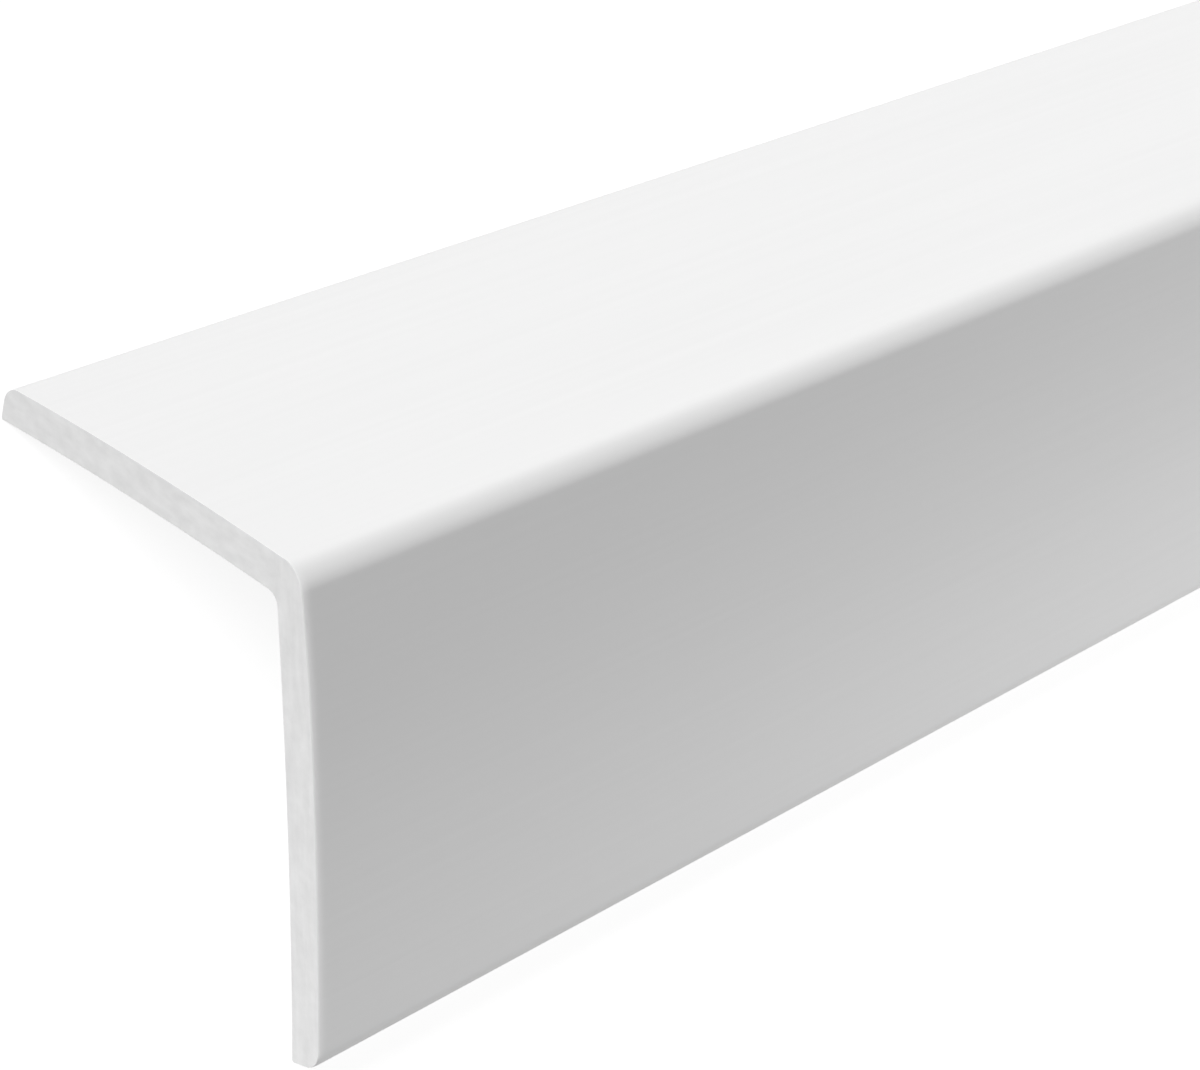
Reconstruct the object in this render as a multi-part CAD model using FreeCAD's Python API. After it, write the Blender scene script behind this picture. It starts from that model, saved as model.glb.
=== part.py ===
# Corner guard moulding: one length of extruded white PVC angle, with two legs of unequal width, a
# rounded nose along the outside corner and tips that slope back towards the wall.
#
# Frame, in millimetres: +X runs along the length and +Z is up. The guard lies as it does unheld on a
# level floor, nose up, on the back edges of its two tips. The origin is the middle of its footprint.
import FreeCAD, Part
import math
import os

# Driving dimensions
length = 1219.2          # four feet, a length that such guards are sold in
short_leg = 28.575       # outside width of the short leg, from the sharp nose corner to its back edge
long_leg = 33.3375       # outside width of the long leg, measured the same way
wall = 2.5               # thickness of both legs
nose_radius = 1.4        # round along the outside corner
inside_fillet = 0.7      # fillet where the two back faces meet
tip_slope = 0.9          # how far each tip's exposed edge stands back from its back edge
tip_radius = 1.8         # round on the exposed edge of each tip
back_edge_radius = 0.12  # small round on the back edge of each tip


def section_point(along_short_leg, along_long_leg):
    """Point of the section, from the sharp nose corner: the short leg runs to +Y, the long leg to -Z."""
    return FreeCAD.Vector(0, along_short_leg, -along_long_leg)


def rounded_corner(before, corner, after, radius):
    """Arc that touches both sides of a corner."""
    to_before = (before - corner).normalize()
    to_after = (after - corner).normalize()
    half_angle = to_before.getAngle(to_after) / 2
    tangent_length = radius / math.tan(half_angle)
    bisector = (to_before + to_after).normalize()
    middle = corner + bisector * (radius / math.sin(half_angle) - radius)
    return Part.Arc(corner + to_before * tangent_length, middle, corner + to_after * tangent_length)


def rounded_outline(corners):
    """Closed wire through (point, radius) corners: an arc at each one and straight runs between them."""
    arcs = []
    for index, (corner, radius) in enumerate(corners):
        before = corners[index - 1][0]
        after = corners[(index + 1) % len(corners)][0]
        arcs.append(rounded_corner(before, corner, after, radius))
    edges = []
    for arc, next_arc in zip(arcs, arcs[1:] + arcs[:1]):
        edges.append(arc.toShape())
        edges.append(Part.LineSegment(arc.EndPoint, next_arc.StartPoint).toShape())
    return Part.Wire(edges)


def guard_section():
    """Face of the angle's section, with the legs square to each other."""
    return Part.Face(rounded_outline([
        (section_point(0, 0), nose_radius),
        (section_point(short_leg - tip_slope, 0), tip_radius),
        (section_point(short_leg, wall), back_edge_radius),
        (section_point(wall, wall), inside_fillet),
        (section_point(wall, long_leg), back_edge_radius),
        (section_point(0, long_leg - tip_slope), tip_radius),
    ]))


def corner_guard():
    """The guard at its length, turned so that both back edges lie on the floor."""
    section = guard_section()
    floor_line = section_point(short_leg, wall) - section_point(wall, long_leg)
    lean = math.degrees(math.atan2(floor_line.z, floor_line.y))
    section.rotate(FreeCAD.Vector(0, 0, 0), FreeCAD.Vector(1, 0, 0), -lean)
    guard = section.extrude(FreeCAD.Vector(length, 0, 0))
    box = guard.optimalBoundingBox(False, False)
    guard.translate(FreeCAD.Vector(-box.Center.x, -box.Center.y, -box.ZMin))
    return guard


guard = corner_guard()
os.makedirs("parts", exist_ok=True)
guard.exportStep("parts/corner_guard.step")
bounds = guard.optimalBoundingBox(False, False)
print(f"solids {len(guard.Solids)}, valid {guard.isValid()}, volume {guard.Volume:.1f} mm3")
print(f"box {bounds.XLength:.3f} x {bounds.YLength:.3f} x {bounds.ZLength:.3f} mm, lowest {bounds.ZMin:.4f} mm")
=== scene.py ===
# Corner guard moulding: a length of extruded white PVC angle with sawn ends, lying nose up on a pale floor.
#
# Frame, in metres: +X runs along the length and +Z is up. The section is drawn in a plane of its own, with
# the sharp nose corner at the origin, the short leg along X and the long leg along -Y, and then turned to
# lie on both back edges.
import math

import bmesh
import bpy
from mathutils import Matrix, Vector, noise


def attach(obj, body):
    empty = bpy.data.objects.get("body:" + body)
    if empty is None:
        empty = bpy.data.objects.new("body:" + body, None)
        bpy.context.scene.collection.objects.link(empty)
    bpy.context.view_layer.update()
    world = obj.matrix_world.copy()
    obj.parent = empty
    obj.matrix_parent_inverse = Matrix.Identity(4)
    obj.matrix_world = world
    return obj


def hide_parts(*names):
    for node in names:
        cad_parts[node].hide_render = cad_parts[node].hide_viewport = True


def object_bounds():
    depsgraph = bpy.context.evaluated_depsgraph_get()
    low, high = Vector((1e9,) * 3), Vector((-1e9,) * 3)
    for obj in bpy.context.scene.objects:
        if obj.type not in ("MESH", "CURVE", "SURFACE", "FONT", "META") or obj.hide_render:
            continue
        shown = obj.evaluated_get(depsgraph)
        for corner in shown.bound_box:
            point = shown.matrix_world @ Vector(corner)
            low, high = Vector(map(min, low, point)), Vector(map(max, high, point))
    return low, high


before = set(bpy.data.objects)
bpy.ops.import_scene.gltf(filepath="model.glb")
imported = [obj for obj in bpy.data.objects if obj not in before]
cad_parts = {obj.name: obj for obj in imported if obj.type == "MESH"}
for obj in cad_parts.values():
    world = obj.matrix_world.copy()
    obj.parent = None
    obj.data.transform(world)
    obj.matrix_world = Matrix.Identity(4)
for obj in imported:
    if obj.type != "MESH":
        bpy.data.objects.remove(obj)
cad_low, cad_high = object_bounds()

# Section of the guard
SHORT_LEG = 0.028575         # outside width, from the sharp nose corner to the back edge of its tip
LONG_LEG = 0.0333375         # the same on the long leg
WALL = 0.0025                # thickness of both legs
NOSE_RADIUS = 0.0014         # round along the outside corner
INSIDE_FILLET = 0.0007       # fillet where the two back faces meet
TIP_SLOPE = 0.0009           # how far each tip's exposed edge stands back from its back edge
TIP_RADIUS = 0.0018          # round on the exposed edge of each tip
BACK_EDGE_RADIUS = 0.00012   # small round on the back edge of each tip
LEAN = math.atan2(LONG_LEG - WALL, SHORT_LEG - WALL)    # turn that lays both back edges level

# What cooling and sawing leave on the stock
SHORT_LEG_BOW = 0.000335     # outward arch of the short leg, at its middle
LONG_LEG_BOW = 0.000382      # the same on the long leg
NOSE_DRAW = 0.0003           # how far the outside of the nose is drawn in at each cut
NOSE_DRAW_DEPTH = 0.01       # reach of that down the long leg
NOSE_DRAW_RUN = 0.06         # reach of that along the length
NOSE_DRAW_FADE = 2           # power that it fades with, both ways
CUT_EDGE = 0.000008          # bevel on the edge of each cut
SCRAPED_CUT_EDGE = 0.00004   # the same where the saw scraped the long leg's outside
SCRAPED_DROP = 0.00009       # depth of the scraped skin behind the bevel
SCRAPED_RUN = 0.0006         # length over which that skin comes back to its full height
SCRAPED_FADE = 3             # power that the scraping fades with, round the section and along the length
CUT_EDGE_UNEVENNESS = 0.4    # share by which the bevel varies along a cut's edge
CUT_EDGE_GRAIN = 900.0       # fineness of that, per metre

# Fineness of the mesh
NOSE_STEPS = 20
TIP_STEPS = 16
FILLET_STEPS = 10
BACK_EDGE_STEPS = 6
SCRAPED_RUN_STEPS = 8
NOSE_DRAW_STEPS = 12
RUN_SPACING = 0.0006         # between the points of the section's straight runs
LENGTH_SPACING = 0.03        # between the rings of the length, where the nose isn't drawn in
SMOOTH_BELOW = math.radians(30)    # edges that turn by more than this are sharp

# The plastic and the noise in it
PVC_IOR = 1.45
COARSE_DETAIL = 2
FINE_DETAIL = 3
NOISE_LOW = 0.3              # value of a noise that gives the first of two tones or limits
NOISE_HIGH = 0.7             # value that gives the second

# Finish of the skin, with noise scales per metre along X, Y and Z
DRAW_LINE_SCALE = (25, 1800, 1800)
DRAW_LINE_DEPTH = 0.000006
DRAW_LINE_SHARE = 0.5        # share of the tone that the draw lines have, beside the clouds
CLOUD_SCALE = (9, 60, 60)
GRAIN_SCALE = (2600, 2600, 2600)
GRAIN_DEPTH = 0.000002
SKIN_TONES = (0.856, 0.884)
SKIN_ROUGHNESS = (0.72, 0.82)

# Finish of the cuts, with the streaks' scales along the length, the short leg and the long leg
MOTTLE_SCALE = (1400, 1400, 1400)
MOTTLE_DEPTH = 0.000010
SHORT_LEG_STREAK_SCALE = (300, 550, 1500)
LONG_LEG_STREAK_SCALE = (300, 1500, 260)
STREAK_DEPTH = 0.000008
STREAK_SHARE = 0.65          # share of the tone that the streaks have, beside the mottle
CUT_TONES = (0.79, 0.91)
CUT_ROUGHNESS = (0.76, 0.90)

# Floor
FLOOR_SIDE = 40.0
FLOOR_BOUNCE = 0.3           # grey of the floor for the light that it sends back to the guard
FLOOR_GLOW = 0.88            # light of its own, where the floor is seen
FLOOR_SHADE = 0.22           # grey that takes the shadow, where the floor is seen

# Lights, with the strips' starts measured from the near end
AMBIENT = 0.168
KEY_FROM = Vector((-0.57, 0.595, 0.567))    # direction that the key light comes from
KEY_STRENGTH = 3.21
KEY_SPREAD = math.radians(30)
LOW_STRIP = {"start": -0.1, "y": -0.055, "z": 0.03, "width": 0.025, "radiance": 0.91}
FILL_STRIP = {"start": 0.045, "y": -0.12, "z": 0.05, "width": 0.06, "radiance": 1.09}
STRIP_PAST_FAR_END = 0.1
FAR_END_LAMP = Vector((0.25, 0, 0.03))      # from the middle of the far cut's foot
FAR_END_LAMP_SIDE = 0.05
FAR_END_LAMP_RADIANCE = 30.0

# Camera, with its places measured from the near end's sharp nose corner
CAMERA_PLACE = Vector((-0.072115, -0.009246, 0.119553))
CAMERA_TARGET = Vector((0.017976, -0.004153, 0))
CAMERA_ROLL = math.radians(-62.73)
CAMERA_LENS = 82.736         # in millimetres, as the sensor is
CAMERA_SENSOR = 36
CAMERA_CLIP_START = 0.005


# Section
def arc(before, corner, after, radius, steps):
    """Rounded corner of a clockwise outline, as (point, outward normal) pairs."""
    normal_in = (corner - before).orthogonal().normalized()
    normal_out = (after - corner).orthogonal().normalized()
    turn = normal_out.angle_signed(normal_in)
    reach = radius if turn < 0 else -radius
    centre = corner - (normal_in + normal_out) * (reach / (1 + normal_in.dot(normal_out)))
    pairs = []
    for step in range(steps + 1):
        normal = Matrix.Rotation(turn * step / steps, 2) @ normal_in
        pairs.append((centre + normal * reach, normal))
    return pairs


def section_outline():
    """Whole section, clockwise from the nose, as (point, outward normal) pairs."""
    corners = [
        (Vector((0, 0)), NOSE_RADIUS, NOSE_STEPS),
        (Vector((SHORT_LEG - TIP_SLOPE, 0)), TIP_RADIUS, TIP_STEPS),
        (Vector((SHORT_LEG, -WALL)), BACK_EDGE_RADIUS, BACK_EDGE_STEPS),
        (Vector((WALL, -WALL)), INSIDE_FILLET, FILLET_STEPS),
        (Vector((WALL, -LONG_LEG)), BACK_EDGE_RADIUS, BACK_EDGE_STEPS),
        (Vector((0, -(LONG_LEG - TIP_SLOPE))), TIP_RADIUS, TIP_STEPS),
    ]
    arcs = []
    for index, (corner, radius, steps) in enumerate(corners):
        before = corners[index - 1][0]
        after = corners[(index + 1) % len(corners)][0]
        arcs.append(arc(before, corner, after, radius, steps))
    outline = []
    for this_arc, next_arc in zip(arcs, arcs[1:] + arcs[:1]):
        outline += this_arc
        start, normal = this_arc[-1]
        run = next_arc[0][0] - start
        count = max(1, round(run.length / RUN_SPACING))
        outline += [(start + run * (step / count), normal) for step in range(1, count)]
    return outline


def at_rest(point):
    """A point of the section turned so that both back edges lie level, as (Y, Z)."""
    return Matrix.Rotation(-LEAN, 2) @ point


def nose_corner():
    """Place of the near end's sharp nose corner that puts the section in the plain solid's box."""
    turned = [at_rest(point) for point, normal in OUTLINE]
    low_y = min(point.x for point in turned)
    low_z = min(point.y for point in turned)
    return Vector((cad_low.x, cad_low.y - low_y, cad_low.z - low_z))


OUTLINE = section_outline()
NOSE_CORNER = nose_corner()


# Mesh of the guard
def within(share):
    """The share, held between 0 and 1."""
    return min(max(share, 0), 1)


def arch(share):
    """Height of an arch at a share of its width: 0 at both ends and 1 in the middle."""
    return 4 * share * (1 - share)


def bowed(point):
    """The point with both legs arched outwards between the nose and their tips, which stay in place."""
    along_short = within(point.x / SHORT_LEG)
    along_long = within(-point.y / LONG_LEG)
    rise = SHORT_LEG_BOW * arch(along_short) * (1 - along_long)
    bulge = LONG_LEG_BOW * arch(along_long) * (1 - along_short)
    return point + Vector((-bulge, rise))


def drawn_in(point, x):
    """The point with the nose's outside drawn in at the cuts, less along the length and down the long leg."""
    from_cut = within(min(x - cad_low.x, cad_high.x - x) / NOSE_DRAW_RUN)
    from_nose = within(-point.y / NOSE_DRAW_DEPTH)
    from_outside = within(point.x / WALL)
    fade = ((1 - from_cut) * (1 - from_nose)) ** NOSE_DRAW_FADE
    return point + Vector((NOSE_DRAW * fade * (1 - from_outside), 0))


def cut_edge(point, normal, end):
    """Bevel on a cut's edge and drop of the skin behind it: the saw scraped the long leg's outside."""
    scraped = max(-normal.x, 0) ** SCRAPED_FADE
    bevel = CUT_EDGE + (SCRAPED_CUT_EDGE - CUT_EDGE) * scraped
    grain = noise.noise(Vector((point.x, point.y, end)) * CUT_EDGE_GRAIN)
    return bevel * (1 + CUT_EDGE_UNEVENNESS * grain), SCRAPED_DROP * scraped


def ring(mesh, place):
    """Ring of vertices round the section: place gives each point's X and its depth under the skin."""
    vertices = []
    for point, normal in OUTLINE:
        x, depth = place(point, normal)
        yz = at_rest(bowed(drawn_in(point - normal * depth, x)))
        vertices.append(mesh.verts.new((x, NOSE_CORNER.y + yz.x, NOSE_CORNER.z + yz.y)))
    return vertices


def cut_ring(mesh, end):
    """Outline of a cut face."""
    def place(point, normal):
        bevel, drop = cut_edge(point, normal, end)
        return end, bevel + drop
    return ring(mesh, place)


def skin_ring(mesh, end, inward, share):
    """Ring on the skin behind a cut, with share 0 at the bevel and 1 where the skin is at full height."""
    def place(point, normal):
        bevel, drop = cut_edge(point, normal, end)
        return end + inward * (bevel + SCRAPED_RUN * share), drop * (1 - share) ** SCRAPED_FADE
    return ring(mesh, place)


def full_ring(mesh, x):
    """Ring on the skin at its full height."""
    return ring(mesh, lambda point, normal: (x, 0))


def end_rings(mesh, end, inward):
    """Rings of one end, from the cut face to the full skin."""
    shares = [step / SCRAPED_RUN_STEPS for step in range(SCRAPED_RUN_STEPS + 1)]
    return [cut_ring(mesh, end)] + [skin_ring(mesh, end, inward, share) for share in shares]


def skin_places():
    """X of each ring on the full skin: close together where the nose is drawn in, and sparse between."""
    length = cad_high.x - cad_low.x
    middle = length - 2 * NOSE_DRAW_RUN
    spans = round(middle / LENGTH_SPACING)
    places = [NOSE_DRAW_RUN * step / NOSE_DRAW_STEPS for step in range(1, NOSE_DRAW_STEPS)]
    mirrored = [length - place for place in reversed(places)]
    places += [NOSE_DRAW_RUN + middle * step / spans for step in range(spans + 1)]
    return [cad_low.x + place for place in places + mirrored]


def finished_mesh(name, mesh):
    """Mesh data of that name from a mesh in the making, which is freed."""
    data = bpy.data.meshes.new(name)
    mesh.to_mesh(data)
    mesh.free()
    return data


def guard_mesh():
    """The guard as one closed mesh, with the two sawn ends in the second material."""
    mesh = bmesh.new()
    rings = end_rings(mesh, cad_low.x, 1)
    rings += [full_ring(mesh, x) for x in skin_places()]
    rings += reversed(end_rings(mesh, cad_high.x, -1))
    for near, far in zip(rings, rings[1:]):
        for index in range(len(near)):
            after = (index + 1) % len(near)
            mesh.faces.new((near[index], near[after], far[after], far[index]))
    for cut in (mesh.faces.new(rings[0]), mesh.faces.new(rings[-1])):
        cut.material_index = 1
    bmesh.ops.recalc_face_normals(mesh, faces=mesh.faces)
    for face in mesh.faces:
        face.smooth = True
    data = finished_mesh("guard_moulding", mesh)
    data.set_sharp_from_angle(angle=SMOOTH_BELOW)
    return data


# Materials
def grey(value):
    """A grey as an opaque colour."""
    return value, value, value, 1


def new_material(name):
    """New node material, as (material, node tree, shader)."""
    material = bpy.data.materials.new(name)
    material.use_nodes = True
    tree = material.node_tree
    return material, tree, tree.nodes["Principled BSDF"]


def stretched_noise(tree, scale, detail, turn=0.0):
    """Noise in the part's own frame, with its own scale along each axis and turned about the length."""
    place = tree.nodes.new("ShaderNodeTexCoord")
    mapping = tree.nodes.new("ShaderNodeMapping")
    mapping.vector_type = "TEXTURE"
    mapping.inputs["Rotation"].default_value = (turn, 0, 0)
    mapping.inputs["Scale"].default_value = [1 / value for value in scale]
    texture = tree.nodes.new("ShaderNodeTexNoise")
    texture.inputs["Scale"].default_value = 1.0
    texture.inputs["Detail"].default_value = detail
    tree.links.new(place.outputs["Object"], mapping.inputs["Vector"])
    tree.links.new(mapping.outputs["Vector"], texture.inputs["Vector"])
    return texture.outputs["Fac"]


def toned(tree, factor, tones):
    """Grey that goes between two tones with a factor."""
    ramp = tree.nodes.new("ShaderNodeValToRGB")
    for stop, position, tone in zip(ramp.color_ramp.elements, (NOISE_LOW, NOISE_HIGH), tones):
        stop.position = position
        stop.color = grey(tone)
    tree.links.new(factor, ramp.inputs["Fac"])
    return ramp.outputs["Color"]


def ranged(tree, factor, limits):
    """Number that goes between two limits with a factor."""
    low, high = limits
    mapped = tree.nodes.new("ShaderNodeMapRange")
    mapped.inputs["From Min"].default_value = NOISE_LOW
    mapped.inputs["From Max"].default_value = NOISE_HIGH
    mapped.inputs["To Min"].default_value = low
    mapped.inputs["To Max"].default_value = high
    tree.links.new(factor, mapped.inputs["Value"])
    return mapped.outputs["Result"]


def mixed(tree, first, second, share):
    """Mean of two factors, with a share for the second."""
    mix = tree.nodes.new("ShaderNodeMix")
    mix.inputs["Factor"].default_value = share
    tree.links.new(first, mix.inputs["A"])
    tree.links.new(second, mix.inputs["B"])
    return mix.outputs["Result"]


def by_leg(tree, on_short_leg, on_long_leg):
    """One factor past the long leg's wall, on the short leg, and another within it."""
    place = tree.nodes.new("ShaderNodeTexCoord")
    section = tree.nodes.new("ShaderNodeMapping")
    section.vector_type = "TEXTURE"
    section.inputs["Location"].default_value = NOSE_CORNER
    section.inputs["Rotation"].default_value = (-LEAN, 0, 0)
    split = tree.nodes.new("ShaderNodeSeparateXYZ")
    past_wall = tree.nodes.new("ShaderNodeMath")
    past_wall.operation = "GREATER_THAN"
    past_wall.inputs[1].default_value = WALL
    mix = tree.nodes.new("ShaderNodeMix")
    tree.links.new(place.outputs["Object"], section.inputs["Vector"])
    tree.links.new(section.outputs["Vector"], split.inputs["Vector"])
    tree.links.new(split.outputs["Y"], past_wall.inputs[0])
    tree.links.new(past_wall.outputs["Value"], mix.inputs["Factor"])
    tree.links.new(on_long_leg, mix.inputs["A"])
    tree.links.new(on_short_leg, mix.inputs["B"])
    return mix.outputs["Result"]


def bumped(tree, height, depth, below=None):
    """Normal from a height of that depth in metres, over an earlier normal."""
    bump = tree.nodes.new("ShaderNodeBump")
    bump.inputs["Strength"].default_value = 1.0
    bump.inputs["Distance"].default_value = depth
    tree.links.new(height, bump.inputs["Height"])
    if below is not None:
        tree.links.new(below, bump.inputs["Normal"])
    return bump.outputs["Normal"]


def dress(tree, shader, colour, roughness, normal):
    """Gives the plastic's shader its colour, roughness and normal."""
    tree.links.new(colour, shader.inputs["Base Color"])
    tree.links.new(roughness, shader.inputs["Roughness"])
    tree.links.new(normal, shader.inputs["Normal"])
    shader.inputs["IOR"].default_value = PVC_IOR


def extruded_pvc():
    """Dull satin white PVC, with faint clouds, draw lines along the length and a fine grain."""
    material, tree, shader = new_material("extruded_white_pvc")
    draw_lines = stretched_noise(tree, DRAW_LINE_SCALE, FINE_DETAIL)
    grain = stretched_noise(tree, GRAIN_SCALE, COARSE_DETAIL)
    clouds = stretched_noise(tree, CLOUD_SCALE, COARSE_DETAIL)
    colour = toned(tree, mixed(tree, clouds, draw_lines, DRAW_LINE_SHARE), SKIN_TONES)
    roughness = ranged(tree, draw_lines, SKIN_ROUGHNESS)
    normal = bumped(tree, draw_lines, DRAW_LINE_DEPTH, bumped(tree, grain, GRAIN_DEPTH))
    dress(tree, shader, colour, roughness, normal)
    return material


def sawn_pvc():
    """The same plastic where the saw went through: matt, faintly mottled and streaked along each leg."""
    material, tree, shader = new_material("sawn_white_pvc")
    mottle = stretched_noise(tree, MOTTLE_SCALE, FINE_DETAIL)
    short_streaks = stretched_noise(tree, SHORT_LEG_STREAK_SCALE, FINE_DETAIL, -LEAN)
    long_streaks = stretched_noise(tree, LONG_LEG_STREAK_SCALE, FINE_DETAIL, -LEAN)
    streaks = by_leg(tree, short_streaks, long_streaks)
    colour = toned(tree, mixed(tree, mottle, streaks, STREAK_SHARE), CUT_TONES)
    roughness = ranged(tree, mottle, CUT_ROUGHNESS)
    normal = bumped(tree, streaks, STREAK_DEPTH, bumped(tree, mottle, MOTTLE_DEPTH))
    dress(tree, shader, colour, roughness, normal)
    return material


# Guard, floor, lights and camera
def add_object(name, data):
    """A new object in the scene."""
    made = bpy.data.objects.new(name, data)
    bpy.context.scene.collection.objects.link(made)
    return made


def add_guard():
    """The dressed guard in the place of the plain solid."""
    guard = add_object("guard_moulding", guard_mesh())
    guard.data.materials.append(extruded_pvc())
    guard.data.materials.append(sawn_pvc())
    weighted = guard.modifiers.new("even_normals", "WEIGHTED_NORMAL")
    weighted.keep_sharp = True
    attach(guard, "root")
    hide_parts("corner_guard")


def seen_directly(tree):
    """1 for rays from the camera or sent on by a gloss or glass, and 0 for light that falls on things."""
    path = tree.nodes.new("ShaderNodeLightPath")
    found = path.outputs["Is Camera Ray"]
    for kind in ("Is Glossy Ray", "Is Transmission Ray"):
        either = tree.nodes.new("ShaderNodeMath")
        either.operation = "MAXIMUM"
        tree.links.new(found, either.inputs[0])
        tree.links.new(path.outputs[kind], either.inputs[1])
        found = either.outputs["Value"]
    return found


def show(tree, output, falling, seen):
    """Links one shader to the output for the light that falls on things, and another for what is seen."""
    choice = tree.nodes.new("ShaderNodeMixShader")
    tree.links.new(seen_directly(tree), choice.inputs["Fac"])
    tree.links.new(falling, choice.inputs[1])
    tree.links.new(seen, choice.inputs[2])
    tree.links.new(choice.outputs["Shader"], tree.nodes[output].inputs["Surface"])


def floor_material():
    """Pale floor: part of the white that the camera sees is its own, and the rest takes the shadow."""
    material, tree, shader = new_material("pale_floor")
    tree.nodes.remove(shader)
    lit = tree.nodes.new("ShaderNodeBsdfDiffuse")
    lit.inputs["Color"].default_value = grey(FLOOR_BOUNCE)
    shaded = tree.nodes.new("ShaderNodeBsdfDiffuse")
    shaded.inputs["Color"].default_value = grey(FLOOR_SHADE)
    glow = tree.nodes.new("ShaderNodeEmission")
    glow.inputs["Strength"].default_value = FLOOR_GLOW
    shown = tree.nodes.new("ShaderNodeAddShader")
    tree.links.new(shaded.outputs["BSDF"], shown.inputs[0])
    tree.links.new(glow.outputs["Emission"], shown.inputs[1])
    show(tree, "Material Output", lit.outputs["BSDF"], shown.outputs["Shader"])
    return material


def add_floor():
    """Level floor under the guard."""
    mesh = bmesh.new()
    bmesh.ops.create_grid(mesh, x_segments=1, y_segments=1, size=FLOOR_SIDE / 2)
    floor = add_object("floor", finished_mesh("floor", mesh))
    floor.data.materials.append(floor_material())


def add_world():
    """Even studio light from all round, behind a background that shows white."""
    world = bpy.data.worlds.new("studio")
    bpy.context.scene.world = world
    world.use_nodes = True
    tree = world.node_tree
    light = tree.nodes["Background"]
    light.inputs["Color"].default_value = grey(1)
    light.inputs["Strength"].default_value = AMBIENT
    white = tree.nodes.new("ShaderNodeBackground")
    white.inputs["Color"].default_value = grey(1)
    show(tree, "World Output", light.outputs["Background"], white.outputs["Background"])


def add_key_light():
    """Broad soft light from above the short leg, turned towards the near end."""
    light = bpy.data.lights.new("key", "SUN")
    light.energy = KEY_STRENGTH
    light.angle = KEY_SPREAD
    lamp = add_object("key", light)
    lamp.rotation_euler = KEY_FROM.to_track_quat("Z", "Y").to_euler()


def add_area_lamp(name, width, height, radiance):
    """Rectangular lamp that the camera doesn't see, with its power in step with its area."""
    light = bpy.data.lights.new(name, "AREA")
    light.shape = "RECTANGLE"
    light.size = width
    light.size_y = height
    light.energy = radiance * math.pi * width * height
    lamp = add_object(name, light)
    lamp.visible_camera = False
    return lamp


def add_strip_light(name, strip):
    """Soft strip along the long leg's side of the guard, facing the middle of its footprint."""
    first = cad_low.x + strip["start"]
    last = cad_high.x + STRIP_PAST_FAR_END
    lamp = add_area_lamp(name, last - first, strip["width"], strip["radiance"])
    lamp.location = ((first + last) / 2, strip["y"], strip["z"])
    lamp.rotation_euler = (math.atan2(-strip["y"], strip["z"]), 0, 0)


def add_far_end_light():
    """Light on the far cut, which the key light doesn't reach: low down, so that it only grazes the legs."""
    lamp = add_area_lamp("far_end", FAR_END_LAMP_SIDE, FAR_END_LAMP_SIDE, FAR_END_LAMP_RADIANCE)
    lamp.location = Vector((cad_high.x, 0, 0)) + FAR_END_LAMP
    lamp.rotation_euler = FAR_END_LAMP.to_track_quat("Z", "Y").to_euler()


def add_camera():
    """Camera over the near end, rolled with the long leg upright."""
    data = bpy.data.cameras.new("camera")
    data.sensor_width = CAMERA_SENSOR
    data.lens = CAMERA_LENS
    data.clip_start = CAMERA_CLIP_START
    camera = add_object("camera", data)
    look = (CAMERA_TARGET - CAMERA_PLACE).to_track_quat("-Z", "Y").to_matrix()
    roll = Matrix.Rotation(-CAMERA_ROLL, 3, "Z")
    camera.matrix_world = Matrix.Translation(NOSE_CORNER + CAMERA_PLACE) @ (look @ roll).to_4x4()
    bpy.context.scene.camera = camera


# Whole scene
add_guard()
add_floor()
add_world()
add_key_light()
add_strip_light("low_strip", LOW_STRIP)
add_strip_light("fill_strip", FILL_STRIP)
add_far_end_light()
add_camera()
bpy.context.scene.view_settings.view_transform = "Standard"
